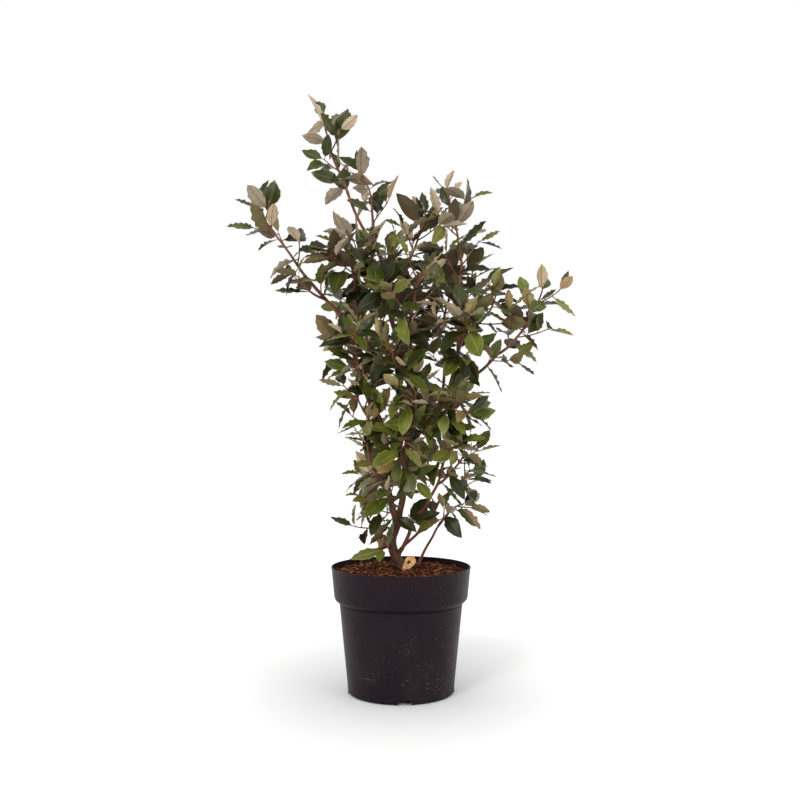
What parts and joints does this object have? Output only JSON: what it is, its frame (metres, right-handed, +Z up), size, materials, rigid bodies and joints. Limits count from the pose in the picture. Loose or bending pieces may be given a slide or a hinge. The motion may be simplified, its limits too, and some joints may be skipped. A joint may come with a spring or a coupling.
{
  "type": "potted silverberry shrub",
  "caption": "Evergreen silverberry shrub with several leafy stems, dark green leaves with silvery undersides, in a round black nursery pot filled with soil.",
  "frame": {"origin": "centre of the flat underside of the pot", "axes": "+Z up, +X to the right of the shrub's best side, which faces -Y"},
  "size_m": [0.5569, 0.3232, 0.9814],
  "materials": {
    "pot_plastic": "satin black, a little dusty",
    "soil": "loose damp compost with bark chips",
    "bark": "matt grey-brown bark",
    "cut_wood": "dry pale wood",
    "foliage": "glossy dark green above, silvery and matt beneath"
  },
  "bodies": {
    "root": {"back_bough": "bark", "back_left_bough": "bark", "back_left_foliage": "foliage", "back_low_foliage": "foliage", "back_middle_foliage": "foliage", "back_right_bough": "bark", "back_right_foliage": "foliage", "back_top_foliage": "foliage", "centre_front_foliage": "foliage", "centre_leader": "bark", "centre_low_foliage": "foliage", "crown_back_foliage": "foliage", "crown_middle_foliage": "foliage", "cut_stub": "cut_wood", "front_bough": "bark", "front_top_foliage": "foliage", "inner_left_bough": "bark", "inner_left_foliage": "foliage", "inner_right_bough": "bark", "inner_right_foliage": "foliage", "left_arm": "bark", "left_bough": "bark", "left_leader": "bark", "left_low_foliage": "foliage", "left_middle_foliage": "foliage", "left_outer_foliage": "foliage", "left_shoulder_foliage": "foliage", "left_tip_foliage": "foliage", "low_centre_foliage": "foliage", "low_front_foliage": "foliage", "low_front_twig": "bark", "low_left_foliage": "foliage", "low_left_twig": "bark", "low_right_foliage": "foliage", "low_right_stem": "bark", "middle_left_foliage": "foliage", "middle_right_foliage": "foliage", "pot": "pot_plastic", "right_arm": "bark", "right_bough": "bark", "right_low_foliage": "foliage", "right_middle_foliage": "foliage", "right_side_foliage": "foliage", "right_stem": "bark", "right_stem_top": "bark", "right_tip_foliage": "foliage", "right_top_foliage": "foliage", "right_upright": "bark", "second_tip_foliage": "foliage", "shoulder_foliage": "foliage", "shoulder_shoot": "bark", "soil": "soil", "sucker": "bark", "sucker_top_foliage": "foliage", "tall_bough": "bark", "tall_tip_foliage": "foliage", "top_fork": "bark", "trunk": "bark", "upright_back_foliage": "foliage"}
  },
  "joints": []
}
